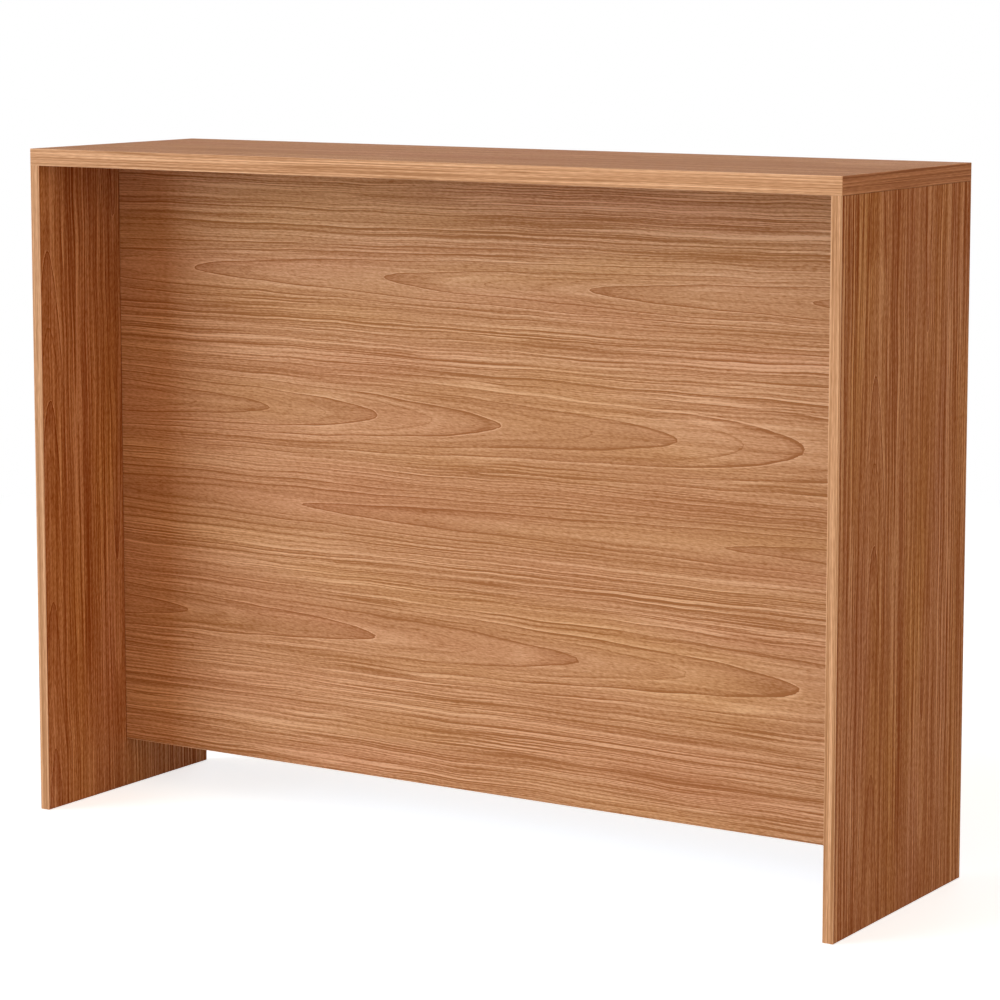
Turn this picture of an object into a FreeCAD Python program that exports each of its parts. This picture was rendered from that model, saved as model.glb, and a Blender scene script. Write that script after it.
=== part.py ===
import FreeCAD, Part
import math
import os

import Sketcher

os.makedirs("parts", exist_ok=True)

# Breakfast bar of wood-decor board. Millimetres, +Z up, +X along the width, front at -Y,
# with the origin on the floor under the middle of the top.

# The driving dimensions, each with its value. Angles are in degrees.
DIMENSIONS = [
    # Whole piece
    ("width", 1340),
    ("depth", 390),
    ("height", 1000),
    ("toe_gap", 75),
    # Boards
    ("top_thickness", 25),
    ("side_thickness", 16),
    ("centre_thickness", 16),
    # Edge bands, and the rounding of their arrises
    ("band_thickness", 1),
    ("band_round", 0.6),
    # Where the fittings sit along each joint, from the end of the joint
    ("upright_fitting_inset", 90),
    ("top_fitting_inset", 210),
    ("corner_fitting_inset", 50),
    ("corner_dowel_pitch", 64),
    # Cam lock: its bore, its body and the chamber that holds the bolt's head
    ("cam_bore_diameter", 15),
    ("cam_bore_depth", 12.5),
    ("cam_length", 12),
    ("cam_clearance", 0.1),
    ("cam_setback", 34),
    ("cam_plate", 4.4),
    ("cam_wall", 1.2),
    ("cam_eccentricity", 0.6),
    ("cam_turn", 180),
    ("cam_slot_margin", 24),
    ("cam_slot_height", 4.4),
    ("cam_entry_width", 6.4),
    ("cam_cross_length", 8.4),
    ("cam_cross_width", 1.7),
    ("cam_cross_depth", 2.6),
    ("cam_arrow_radius", 0.9),
    ("cam_arrow_depth", 0.4),
    ("cam_arrow_rim", 0.5),
    # Connecting bolt
    ("bolt_thread_diameter", 5),
    ("bolt_thread_length", 11),
    ("bolt_thread_pitch", 1.6),
    ("bolt_thread_relief", 0.8),
    ("bolt_collar_diameter", 7.6),
    ("bolt_collar_length", 2),
    ("bolt_shank_diameter", 5.6),
    ("bolt_neck_diameter", 3.6),
    ("bolt_neck_lead", 1),
    ("bolt_head_diameter", 5.8),
    ("bolt_head_inset", 2.6),
    ("bolt_hole_diameter", 8),
    ("bolt_hole_clearance", 0.1),
    # Fluted dowel
    ("dowel_diameter", 8),
    ("dowel_length", 30),
    ("dowel_face_length", 10),
    ("dowel_chamfer", 0.8),
    ("dowel_flute_diameter", 0.9),
    ("dowel_clearance", 0.05),
    ("dowel_end_gap", 0.5),
    # How far a cutting shape runs past the face that it cuts
    ("overrun", 1),
]
DOWEL_FLUTES = 10
THREAD_RIDGES = 5

# Places along the width, depth and height that several pieces share
CLEAR_WIDTH = "(Sizes.width - 2 * Sizes.side_thickness)"
UNDER_TOP = "(Sizes.height - Sizes.top_thickness)"
CORE_DEPTH = "(Sizes.depth - 2 * Sizes.band_thickness)"
LEFT_INNER = "(Sizes.side_thickness - Sizes.width / 2)"
RIGHT_INNER = "(Sizes.width / 2 - Sizes.side_thickness)"
FRONT = "(-Sizes.depth / 2)"
CENTRE_FOOT = "(Sizes.toe_gap + Sizes.band_thickness)"
CENTRE_BACK = "(Sizes.centre_thickness / 2)"
SIDE_MIDDLE = "(Sizes.side_thickness / 2)"

LOW_HEIGHT = "(Sizes.toe_gap + Sizes.upright_fitting_inset)"
HIGH_HEIGHT = "(Sizes.height - Sizes.top_thickness - Sizes.upright_fitting_inset)"
MID_HEIGHT = f"(({LOW_HEIGHT} + {HIGH_HEIGHT}) / 2)"
UPRIGHT_BOLT_HEIGHTS = {"low": LOW_HEIGHT, "mid": MID_HEIGHT, "high": HIGH_HEIGHT}
UPRIGHT_DOWEL_HEIGHTS = [
    f"(({LOW_HEIGHT} + {MID_HEIGHT}) / 2)",
    f"(({MID_HEIGHT} + {HIGH_HEIGHT}) / 2)",
]

TOP_REACH = f"({CLEAR_WIDTH} / 2 - Sizes.top_fitting_inset)"
TOP_BOLT_PLACES = {"left": f"(-{TOP_REACH})", "mid": "0", "right": TOP_REACH}
TOP_DOWEL_PLACES = [f"(-{TOP_REACH} / 2)", f"({TOP_REACH} / 2)"]

CORNER_BOLT_PLACE = "(Sizes.depth / 2 - Sizes.corner_fitting_inset)"
CORNER_DOWEL_PLACES = [
    "(Sizes.corner_fitting_inset - Sizes.depth / 2)",
    f"({CORNER_BOLT_PLACE} - Sizes.corner_dowel_pitch)",
]

# Hole radii and depths
CAM_BORE_RADIUS = "Sizes.cam_bore_diameter / 2"
BOLT_HOLE_RADIUS = "Sizes.bolt_hole_diameter / 2"
THREAD_HOLE_RADIUS = "Sizes.bolt_thread_diameter / 2 + Sizes.bolt_hole_clearance"
THREAD_HOLE_DEPTH = "Sizes.bolt_thread_length + Sizes.bolt_hole_clearance"
DOWEL_HOLE_RADIUS = "Sizes.dowel_diameter / 2 + Sizes.dowel_clearance"
DOWEL_FACE_DEPTH = "Sizes.dowel_face_length + Sizes.dowel_end_gap"
DOWEL_EDGE_DEPTH = "Sizes.dowel_length - Sizes.dowel_face_length + Sizes.dowel_end_gap"

# How a fitting whose own axis is +Z lies in the part
X_AXIS = FreeCAD.Vector(1, 0, 0)
Y_AXIS = FreeCAD.Vector(0, 1, 0)
Z_AXIS = FreeCAD.Vector(0, 0, 1)
QUARTER_TURN = 90
POINT_UP = FreeCAD.Rotation(Z_AXIS, 0)
POINT_DOWN = FreeCAD.Rotation(X_AXIS, 2 * QUARTER_TURN)
POINT_RIGHT = FreeCAD.Rotation(Y_AXIS, QUARTER_TURN)
POINT_LEFT = FreeCAD.Rotation(Y_AXIS, -QUARTER_TURN)

doc = FreeCAD.newDocument("breakfast_bar")
sheet = doc.addObject("Spreadsheet::Sheet", "Sizes")
for row, (alias, value) in enumerate(DIMENSIONS, start=1):
    sheet.set(f"A{row}", alias)
    sheet.set(f"B{row}", str(value))
    sheet.setAlias(f"B{row}", alias)
doc.recompute()

pieces = []


def bind(item, **expressions):
    """Binds properties of an object to expressions on the sheet."""
    for name, expression in expressions.items():
        item.setExpression(name, expression)


def place(item, x, y, z, turn=POINT_UP):
    """Turns an object and binds its position."""
    item.Placement = FreeCAD.Placement(FreeCAD.Vector(), turn)
    item.setExpression("Placement.Base.x", x)
    item.setExpression("Placement.Base.y", y)
    item.setExpression("Placement.Base.z", z)


def new_body(label, x, y, z, turn=POINT_UP):
    """An empty body with its own label and place."""
    body = doc.addObject("PartDesign::Body", label)
    body.Label = label
    place(body, x, y, z, turn)
    return body


def origin_plane(body, role):
    """The body's own origin plane with this role."""
    return next(item for item in body.Origin.OriginFeatures if item.Role == role)


def new_sketch(body, name, role, offset="0"):
    """A sketch on an origin plane of the body, moved by offset along the plane's normal."""
    sketch = body.newObject("Sketcher::SketchObject", name)
    sketch.AttachmentSupport = (origin_plane(body, role), "")
    sketch.MapMode = "FlatFace"
    sketch.setExpression("AttachmentOffset.Base.z", offset)
    return sketch


def draw_rectangle(sketch, wide, high):
    """A rectangle from the sketch's origin, with both sizes bound."""
    corners = [(0, 0), (1, 0), (1, 1), (0, 1)]
    points = [FreeCAD.Vector(across, up, 0) for across, up in corners]
    for start, end in zip(points, points[1:] + points[:1]):
        sketch.addGeometry(Part.LineSegment(start, end), False)
    for line in range(len(corners)):
        following = (line + 1) % len(corners)
        sketch.addConstraint(Sketcher.Constraint("Coincident", line, 2, following, 1))
    for kind, line in (("Horizontal", 0), ("Vertical", 1), ("Horizontal", 2), ("Vertical", 3)):
        sketch.addConstraint(Sketcher.Constraint(kind, line))
    sketch.addConstraint(Sketcher.Constraint("Coincident", 0, 1, -1, 1))
    across = sketch.addConstraint(Sketcher.Constraint("DistanceX", 0, 1, 0, 2, 1))
    up = sketch.addConstraint(Sketcher.Constraint("DistanceY", 1, 1, 1, 2, 1))
    sketch.setExpression(f"Constraints[{across}]", wide)
    sketch.setExpression(f"Constraints[{up}]", high)


def draw_circle(sketch, across, up, radius):
    """A circle, with its radius bound, and its centre unless that is the sketch's origin."""
    circle = sketch.addGeometry(Part.Circle(FreeCAD.Vector(1, 1, 0), Z_AXIS, 1), False)
    size = sketch.addConstraint(Sketcher.Constraint("Radius", circle, 1))
    sketch.setExpression(f"Constraints[{size}]", radius)
    if (across, up) == ("0", "0"):
        sketch.addConstraint(Sketcher.Constraint("Coincident", circle, 3, -1, 1))
        return
    right = sketch.addConstraint(Sketcher.Constraint("DistanceX", -1, 1, circle, 3, 1))
    above = sketch.addConstraint(Sketcher.Constraint("DistanceY", -1, 1, circle, 3, 1))
    sketch.setExpression(f"Constraints[{right}]", across)
    sketch.setExpression(f"Constraints[{above}]", up)


def pad(body, sketch, length, reverse=False):
    """Raises the sketch into a solid."""
    feature = body.newObject("PartDesign::Pad", f"{sketch.Name}_pad")
    feature.Profile = sketch
    feature.Reversed = reverse
    bind(feature, Length=length)
    return feature


def drill(body, name, role, offset, into, radius, depth, centres):
    """Round holes of one size from a flat face. into is the sign of the drilling direction
    against the plane's normal."""
    sketch = new_sketch(body, name, role, offset)
    for across, up in centres:
        draw_circle(sketch, across, up, radius)
    feature = body.newObject("PartDesign::Pocket", f"{name}_pocket")
    feature.Profile = sketch
    feature.Reversed = into > 0
    bind(feature, Length=depth)


def board(label, corner, role, wide, high, thick, reverse=False):
    """A plain board raised from an origin plane, with a corner at its own origin."""
    body = new_body(label, *corner)
    sketch = new_sketch(body, f"{label}_outline", role)
    draw_rectangle(sketch, wide, high)
    pad(body, sketch, thick, reverse)
    pieces.append(body)
    return body


def rounded_edges(shape, outer_axis, outer_side, along):
    """Names of the edges on the box's outer face that run along the given axes."""
    box = shape.BoundBox
    limits = {"x": (box.XMin, box.XMax), "y": (box.YMin, box.YMax), "z": (box.ZMin, box.ZMax)}
    outer = limits[outer_axis][outer_side]
    names = []
    for number, edge in enumerate(shape.Edges, start=1):
        start, end = (vertex.Point for vertex in edge.Vertexes)
        on_face = all(
            math.isclose(getattr(point, outer_axis), outer, abs_tol=shape.getTolerance(0))
            for point in (start, end)
        )
        direction = (end - start).normalize()
        if on_face and any(abs(getattr(direction, axis)) > 0.5 for axis in along):
            names.append(f"Edge{number}")
    return names


def band(label, corner, sizes, outer_axis, outer_side, along):
    """An edge band with its outer arrises rounded. sizes run along X, Y and Z."""
    body = new_body(label, *corner)
    sketch = new_sketch(body, f"{label}_outline", "XY_Plane")
    draw_rectangle(sketch, sizes[0], sizes[1])
    strip = pad(body, sketch, sizes[2])
    doc.recompute()
    rounding = body.newObject("PartDesign::Fillet", f"{label}_rounding")
    rounding.Base = (strip, rounded_edges(strip.Shape, outer_axis, outer_side, along))
    bind(rounding, Radius="Sizes.band_round")
    pieces.append(body)


# Boards. Each has its own origin at its left, front, lower corner.


def make_top_panel():
    """The thick top: bolts and dowels go into its underside."""
    left, front = "Sizes.band_thickness - Sizes.width / 2", f"{FRONT} + Sizes.band_thickness"
    body = board(
        "top_panel",
        (left, front, UNDER_TOP),
        "XY_Plane",
        "Sizes.width - 2 * Sizes.band_thickness",
        CORE_DEPTH,
        "Sizes.top_thickness",
    )
    side_lines = (
        f"{SIDE_MIDDLE} - Sizes.band_thickness",
        f"Sizes.width - {SIDE_MIDDLE} - Sizes.band_thickness",
    )
    bolts = [(f"{x} - ({left})", f"-({front})") for x in TOP_BOLT_PLACES.values()]
    bolts += [(line, f"{CORNER_BOLT_PLACE} - ({front})") for line in side_lines]
    dowels = [(f"{x} - ({left})", f"-({front})") for x in TOP_DOWEL_PLACES]
    dowels += [(line, f"{y} - ({front})") for line in side_lines for y in CORNER_DOWEL_PLACES]
    drill(body, "top_thread_holes", "XY_Plane", "0", 1, THREAD_HOLE_RADIUS, THREAD_HOLE_DEPTH, bolts)
    drill(body, "top_dowel_holes", "XY_Plane", "0", 1, DOWEL_HOLE_RADIUS, DOWEL_FACE_DEPTH, dowels)


def make_side_panel(side, corner_x, inner_offset, into):
    """A side panel: bolts and dowels for the centre panel go into its inner face, and its
    upper end is bolted to the top through a cam lock at the back."""
    foot = "Sizes.band_thickness"
    front = f"{FRONT} + Sizes.band_thickness"
    tall = f"{UNDER_TOP} - {foot}"
    body = board(
        f"{side}_side_panel",
        (corner_x, front, foot),
        "YZ_Plane",
        CORE_DEPTH,
        tall,
        "Sizes.side_thickness",
    )
    centre_line = f"-({front})"
    bolts = [(centre_line, f"{height} - {foot}") for height in UPRIGHT_BOLT_HEIGHTS.values()]
    dowels = [(centre_line, f"{height} - {foot}") for height in UPRIGHT_DOWEL_HEIGHTS]
    faces = ("YZ_Plane", inner_offset, into)
    drill(body, f"{side}_thread_holes", *faces, THREAD_HOLE_RADIUS, THREAD_HOLE_DEPTH, bolts)
    drill(body, f"{side}_dowel_holes", *faces, DOWEL_HOLE_RADIUS, DOWEL_FACE_DEPTH, dowels)
    cam = [(f"{CORNER_BOLT_PLACE} - ({front})", f"{tall} - Sizes.cam_setback")]
    drill(body, f"{side}_cam_bore", *faces, CAM_BORE_RADIUS, "Sizes.cam_bore_depth", cam)
    end = ("XY_Plane", tall, -1)
    bolt = [(SIDE_MIDDLE, f"{CORNER_BOLT_PLACE} - ({front})")]
    drill(body, f"{side}_end_bolt_hole", *end, BOLT_HOLE_RADIUS, "Sizes.cam_setback", bolt)
    dowels = [(SIDE_MIDDLE, f"{y} - ({front})") for y in CORNER_DOWEL_PLACES]
    drill(body, f"{side}_end_dowel_holes", *end, DOWEL_HOLE_RADIUS, DOWEL_EDGE_DEPTH, dowels)


def make_centre_panel():
    """The centre panel: cam locks sit in its back face, and bolts and dowels reach them
    through both ends and the upper edge."""
    tall = f"{UNDER_TOP} - {CENTRE_FOOT}"
    body = board(
        "centre_panel",
        (LEFT_INNER, f"-{CENTRE_BACK}", CENTRE_FOOT),
        "XZ_Plane",
        CLEAR_WIDTH,
        tall,
        "Sizes.centre_thickness",
        reverse=True,
    )
    setbacks = ("Sizes.cam_setback", f"{CLEAR_WIDTH} - Sizes.cam_setback")
    cams = [
        (setback, f"{height} - {CENTRE_FOOT}")
        for setback in setbacks
        for height in UPRIGHT_BOLT_HEIGHTS.values()
    ]
    cams += [(f"{x} - {LEFT_INNER}", f"{tall} - Sizes.cam_setback") for x in TOP_BOLT_PLACES.values()]
    back = ("XZ_Plane", "-Sizes.centre_thickness", 1)
    drill(body, "centre_cam_bores", *back, CAM_BORE_RADIUS, "Sizes.cam_bore_depth", cams)
    bolts = [(CENTRE_BACK, f"{height} - {CENTRE_FOOT}") for height in UPRIGHT_BOLT_HEIGHTS.values()]
    dowels = [(CENTRE_BACK, f"{height} - {CENTRE_FOOT}") for height in UPRIGHT_DOWEL_HEIGHTS]
    for side, offset, into in (("left", "0", 1), ("right", CLEAR_WIDTH, -1)):
        end = ("YZ_Plane", offset, into)
        name = f"centre_{side}"
        drill(body, f"{name}_bolt_holes", *end, BOLT_HOLE_RADIUS, "Sizes.cam_setback", bolts)
        drill(body, f"{name}_dowel_holes", *end, DOWEL_HOLE_RADIUS, DOWEL_EDGE_DEPTH, dowels)
    end = ("XY_Plane", tall, -1)
    bolts = [(f"{x} - {LEFT_INNER}", CENTRE_BACK) for x in TOP_BOLT_PLACES.values()]
    dowels = [(f"{x} - {LEFT_INNER}", CENTRE_BACK) for x in TOP_DOWEL_PLACES]
    drill(body, "centre_top_bolt_holes", *end, BOLT_HOLE_RADIUS, "Sizes.cam_setback", bolts)
    drill(body, "centre_top_dowel_holes", *end, DOWEL_HOLE_RADIUS, DOWEL_EDGE_DEPTH, dowels)


# Edge bands


def make_top_bands():
    """Front and back bands run the full width, with the end bands between them."""
    thin, tall = "Sizes.band_thickness", "Sizes.top_thickness"
    left, right = "-Sizes.width / 2", "Sizes.width / 2 - Sizes.band_thickness"
    back = "Sizes.depth / 2 - Sizes.band_thickness"
    inside = f"{FRONT} + Sizes.band_thickness"
    long_sizes = ("Sizes.width", thin, tall)
    short_sizes = (thin, CORE_DEPTH, tall)
    band("top_front_band", (left, FRONT, UNDER_TOP), long_sizes, "y", 0, "xz")
    band("top_back_band", (left, back, UNDER_TOP), long_sizes, "y", 1, "xz")
    band("top_left_band", (left, inside, UNDER_TOP), short_sizes, "x", 0, "y")
    band("top_right_band", (right, inside, UNDER_TOP), short_sizes, "x", 1, "y")


def make_side_bands(side, corner_x):
    """Front and back bands run from the floor to the top, with the foot band between them."""
    thin, wide = "Sizes.band_thickness", "Sizes.side_thickness"
    back = "Sizes.depth / 2 - Sizes.band_thickness"
    inside = f"{FRONT} + Sizes.band_thickness"
    upright_sizes = (wide, thin, UNDER_TOP)
    band(f"{side}_side_front_band", (corner_x, FRONT, "0"), upright_sizes, "y", 0, "z")
    band(f"{side}_side_back_band", (corner_x, back, "0"), upright_sizes, "y", 1, "z")
    band(f"{side}_side_foot_band", (corner_x, inside, "0"), (wide, CORE_DEPTH, thin), "z", 0, "y")


def make_centre_band():
    """The band along the centre panel's lower edge."""
    corner = (LEFT_INNER, f"-{CENTRE_BACK}", "Sizes.toe_gap")
    sizes = (CLEAR_WIDTH, "Sizes.centre_thickness", "Sizes.band_thickness")
    band("centre_bottom_band", corner, sizes, "z", 0, "x")


# Fittings


def carve(body, kind, name, base_x, base_y, base_z, turn="0", **sizes):
    """Cuts a primitive shape out of the body, turned about the primitive's own Z axis."""
    feature = body.newObject(f"PartDesign::Subtractive{kind}", name)
    feature.AttachmentSupport = (origin_plane(body, "XY_Plane"), "")
    feature.MapMode = "FlatFace"
    feature.Refine = False
    bind(feature, **sizes)
    feature.setExpression("AttachmentOffset.Base.x", base_x)
    feature.setExpression("AttachmentOffset.Base.y", base_y)
    feature.setExpression("AttachmentOffset.Base.z", base_z)
    feature.setExpression("AttachmentOffset.Rotation.Angle", turn)


def make_cam(label, x, y, z, turn, board_thickness):
    """A cam lock. Its own +Z points out of the board's face and its +X along the bolt,
    towards the board's end. The chamber is set off centre, so that its wall draws the
    bolt's head in as the cam turns. The head enters on the -X side, at the arrow."""
    body = new_body(label, x, y, z, turn)
    radius = "(Sizes.cam_bore_diameter / 2 - Sizes.cam_clearance)"
    bolt_depth = f"({board_thickness} / 2)"
    disc = new_sketch(body, f"{label}_disc", "XY_Plane")
    draw_circle(disc, "0", "0", radius)
    pad(body, disc, "Sizes.cam_length", reverse=True)
    carve(
        body,
        "Cylinder",
        f"{label}_chamber",
        "-Sizes.cam_eccentricity",
        "0",
        "-Sizes.cam_length - Sizes.overrun",
        Radius=f"{radius} - Sizes.cam_wall",
        Height="Sizes.cam_length + Sizes.overrun - Sizes.cam_plate",
    )
    carve(
        body,
        "Cylinder",
        f"{label}_neck_slot",
        "0",
        "0",
        f"-{bolt_depth} - Sizes.cam_slot_height / 2",
        "-Sizes.cam_turn - Sizes.cam_slot_margin",
        Radius=f"{radius} + Sizes.overrun",
        Height="Sizes.cam_slot_height",
        Angle="Sizes.cam_turn + 2 * Sizes.cam_slot_margin",
    )
    carve(
        body,
        "Box",
        f"{label}_head_entry",
        f"-{radius} - Sizes.overrun",
        "-Sizes.cam_entry_width / 2",
        "-Sizes.cam_length - Sizes.overrun",
        Length=f"{radius} + Sizes.overrun",
        Width="Sizes.cam_entry_width",
        Height=f"Sizes.cam_length + Sizes.overrun - {bolt_depth} + Sizes.cam_entry_width / 2",
    )
    arms = (("length", "width"), ("width", "length"))
    for along, across in arms:
        carve(
            body,
            "Box",
            f"{label}_recess_{along}",
            f"-Sizes.cam_cross_{along} / 2",
            f"-Sizes.cam_cross_{across} / 2",
            "-Sizes.cam_cross_depth",
            Length=f"Sizes.cam_cross_{along}",
            Width=f"Sizes.cam_cross_{across}",
            Height="Sizes.cam_cross_depth + Sizes.overrun",
        )
    carve(
        body,
        "Prism",
        f"{label}_arrow",
        f"Sizes.cam_arrow_rim + Sizes.cam_arrow_radius - {radius}",
        "0",
        "-Sizes.cam_arrow_depth",
        "180",
        Polygon="3",
        Circumradius="Sizes.cam_arrow_radius",
        Height="Sizes.cam_arrow_depth + Sizes.overrun",
    )
    pieces.append(body)


def part_shape(kind, name, x="0", y="0", z="0", turn=POINT_UP, **sizes):
    """A primitive solid with its sizes and place bound."""
    item = doc.addObject(f"Part::{kind}", name)
    place(item, x, y, z, turn)
    bind(item, **sizes)
    return item


def make_bolt(name, x, y, z, turn):
    """A connecting bolt. Its own origin is where it leaves the board that it is screwed
    into, and its +Z points towards the cam lock."""
    core_radius = "Sizes.bolt_thread_diameter / 2 - Sizes.bolt_thread_relief"
    neck_start = "(Sizes.cam_setback - Sizes.cam_bore_diameter / 2 - Sizes.bolt_neck_lead)"
    head_height = "(Sizes.cam_setback - Sizes.bolt_head_inset)"
    shapes = [
        part_shape(
            "Cylinder",
            f"{name}_core",
            z="-Sizes.bolt_thread_length",
            Radius=core_radius,
            Height="Sizes.bolt_thread_length + Sizes.bolt_collar_length",
        ),
        part_shape(
            "Cylinder",
            f"{name}_collar",
            Radius="Sizes.bolt_collar_diameter / 2",
            Height="Sizes.bolt_collar_length",
        ),
        part_shape(
            "Cylinder",
            f"{name}_shank",
            Radius="Sizes.bolt_shank_diameter / 2",
            Height=neck_start,
        ),
        part_shape(
            "Cylinder",
            f"{name}_neck",
            Radius="Sizes.bolt_neck_diameter / 2",
            Height=head_height,
        ),
        part_shape("Sphere", f"{name}_head", z=head_height, Radius="Sizes.bolt_head_diameter / 2"),
    ]
    for ridge in range(THREAD_RIDGES):
        shapes.append(
            part_shape(
                "Cone",
                f"{name}_ridge_{ridge}",
                z=f"-{ridge + 1} * Sizes.bolt_thread_pitch - Sizes.bolt_thread_relief",
                Radius1=core_radius,
                Radius2="Sizes.bolt_thread_diameter / 2",
                Height="Sizes.bolt_thread_relief",
            )
        )
    bolt = doc.addObject("Part::MultiFuse", name)
    bolt.Shapes = shapes
    place(bolt, x, y, z, turn)
    return bolt


def make_dowel(name, x, y, z, turn):
    """A fluted dowel. Its own origin is where it leaves the face board, and its +Z points
    into the other board's end."""
    face_end = "-Sizes.dowel_face_length"
    rod_radius = "Sizes.dowel_diameter / 2"
    tip_radius = "Sizes.dowel_diameter / 2 - Sizes.dowel_chamfer"
    rod = part_shape(
        "Cylinder",
        f"{name}_rod",
        z=f"{face_end} + Sizes.dowel_chamfer",
        Radius=rod_radius,
        Height="Sizes.dowel_length - 2 * Sizes.dowel_chamfer",
    )
    near_tip = part_shape(
        "Cone",
        f"{name}_near_tip",
        z=face_end,
        Radius1=tip_radius,
        Radius2=rod_radius,
        Height="Sizes.dowel_chamfer",
    )
    far_tip = part_shape(
        "Cone",
        f"{name}_far_tip",
        z=f"{face_end} + Sizes.dowel_length - Sizes.dowel_chamfer",
        Radius1=rod_radius,
        Radius2=tip_radius,
        Height="Sizes.dowel_chamfer",
    )
    whole = doc.addObject("Part::MultiFuse", f"{name}_whole")
    whole.Shapes = [rod, near_tip, far_tip]
    flutes = []
    for flute in range(DOWEL_FLUTES):
        angle = f"{flute} * 360deg / {DOWEL_FLUTES}"
        flutes.append(
            part_shape(
                "Cylinder",
                f"{name}_flute_{flute}",
                x=f"Sizes.dowel_diameter / 2 * cos({angle})",
                y=f"Sizes.dowel_diameter / 2 * sin({angle})",
                z=f"{face_end} - Sizes.overrun",
                Radius="Sizes.dowel_flute_diameter / 2",
                Height="Sizes.dowel_length + 2 * Sizes.overrun",
            )
        )
    cutters = doc.addObject("Part::Compound", f"{name}_flutes")
    cutters.Links = flutes
    dowel = doc.addObject("Part::Cut", name)
    dowel.Base = whole
    dowel.Tool = cutters
    place(dowel, x, y, z, turn)
    return dowel


def group(label, solids):
    """Identical fittings of one joint, kept as separate solids in one node."""
    item = doc.addObject("Part::Compound", label)
    item.Label = label
    item.Links = solids
    pieces.append(item)


def make_upright_joint(side, inner_x, turn, cam_turn, sign):
    """Cam locks, bolts and dowels between the centre panel and a side panel."""
    cam_x = f"{inner_x} {sign} Sizes.cam_setback"
    bolts = []
    for name, height in UPRIGHT_BOLT_HEIGHTS.items():
        make_cam(f"{side}_cam_{name}", cam_x, CENTRE_BACK, height, cam_turn, "Sizes.centre_thickness")
        bolts.append(make_bolt(f"{side}_bolt_{name}", inner_x, "0", height, turn))
    dowels = [
        make_dowel(f"{side}_dowel_{number}", inner_x, "0", height, turn)
        for number, height in enumerate(UPRIGHT_DOWEL_HEIGHTS)
    ]
    group(f"{side}_joint_bolts", bolts)
    group(f"{side}_joint_dowels", dowels)


def make_top_joint(cam_turn):
    """Cam locks, bolts and dowels between the centre panel and the top."""
    cam_z = f"{UNDER_TOP} - Sizes.cam_setback"
    bolts = []
    for name, x in TOP_BOLT_PLACES.items():
        make_cam(f"top_cam_{name}", x, CENTRE_BACK, cam_z, cam_turn, "Sizes.centre_thickness")
        bolts.append(make_bolt(f"top_bolt_{name}", x, "0", UNDER_TOP, POINT_DOWN))
    dowels = [
        make_dowel(f"top_dowel_{number}", x, "0", UNDER_TOP, POINT_DOWN)
        for number, x in enumerate(TOP_DOWEL_PLACES)
    ]
    group("top_joint_bolts", bolts)
    group("top_joint_dowels", dowels)


def make_corner_joint(side, inner_x, middle_x, cam_turn):
    """The cam lock, bolt and dowels between a side panel and the top."""
    cam_z = f"{UNDER_TOP} - Sizes.cam_setback"
    make_cam(f"{side}_corner_cam", inner_x, CORNER_BOLT_PLACE, cam_z, cam_turn, "Sizes.side_thickness")
    bolt = make_bolt(f"{side}_corner_screw", middle_x, CORNER_BOLT_PLACE, UNDER_TOP, POINT_DOWN)
    dowels = [
        make_dowel(f"{side}_corner_dowel_{number}", middle_x, y, UNDER_TOP, POINT_DOWN)
        for number, y in enumerate(CORNER_DOWEL_PLACES)
    ]
    group(f"{side}_corner_bolt", [bolt])
    group(f"{side}_corner_dowels", dowels)


def facing(outward, along_bolt):
    """The rotation that points a cam lock's +Z outward and its +X along its bolt."""
    return FreeCAD.Rotation(along_bolt, outward.cross(along_bolt), outward, "ZXY")


LEFT_OUTER_X = "-Sizes.width / 2"
make_top_panel()
make_side_panel("left", LEFT_OUTER_X, "Sizes.side_thickness", -1)
make_side_panel("right", RIGHT_INNER, "0", 1)
make_centre_panel()

make_top_bands()
make_side_bands("left", LEFT_OUTER_X)
make_side_bands("right", RIGHT_INNER)
make_centre_band()

make_upright_joint("left", LEFT_INNER, POINT_RIGHT, facing(Y_AXIS, -X_AXIS), "+")
make_upright_joint("right", RIGHT_INNER, POINT_LEFT, facing(Y_AXIS, X_AXIS), "-")
make_top_joint(facing(Y_AXIS, Z_AXIS))
make_corner_joint("left", LEFT_INNER, f"{LEFT_INNER} - {SIDE_MIDDLE}", facing(X_AXIS, Z_AXIS))
make_corner_joint("right", RIGHT_INNER, f"{RIGHT_INNER} + {SIDE_MIDDLE}", facing(-X_AXIS, Z_AXIS))

doc.recompute()


def check_model():
    """Stops the build when any object failed, or a cut took nothing away."""
    for item in doc.Objects:
        faults = {"Invalid", "Error"} & set(item.State)
        if faults:
            raise RuntimeError(f"{item.Name} is {sorted(faults)}")
        cuts = item.TypeId == "PartDesign::Pocket" or "Subtractive" in item.TypeId
        if cuts and not item.Shape.Volume < item.BaseFeature.Shape.Volume:
            raise RuntimeError(f"{item.Name} cuts nothing")
    for piece in pieces:
        if piece.Shape.isNull() or not piece.Shape.isValid():
            raise RuntimeError(f"{piece.Label} has no valid shape")


check_model()
for piece in pieces:
    piece.Shape.exportStep(f"parts/{piece.Label}.step")
    print(f"{piece.Label}: {len(piece.Shape.Solids)} solid(s), {piece.Shape.Volume:.0f} mm3")
print(f"{len(pieces)} nodes")
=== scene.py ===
import logging
import math
from collections.abc import Callable, Iterator
from dataclasses import dataclass
from enum import Enum

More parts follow.
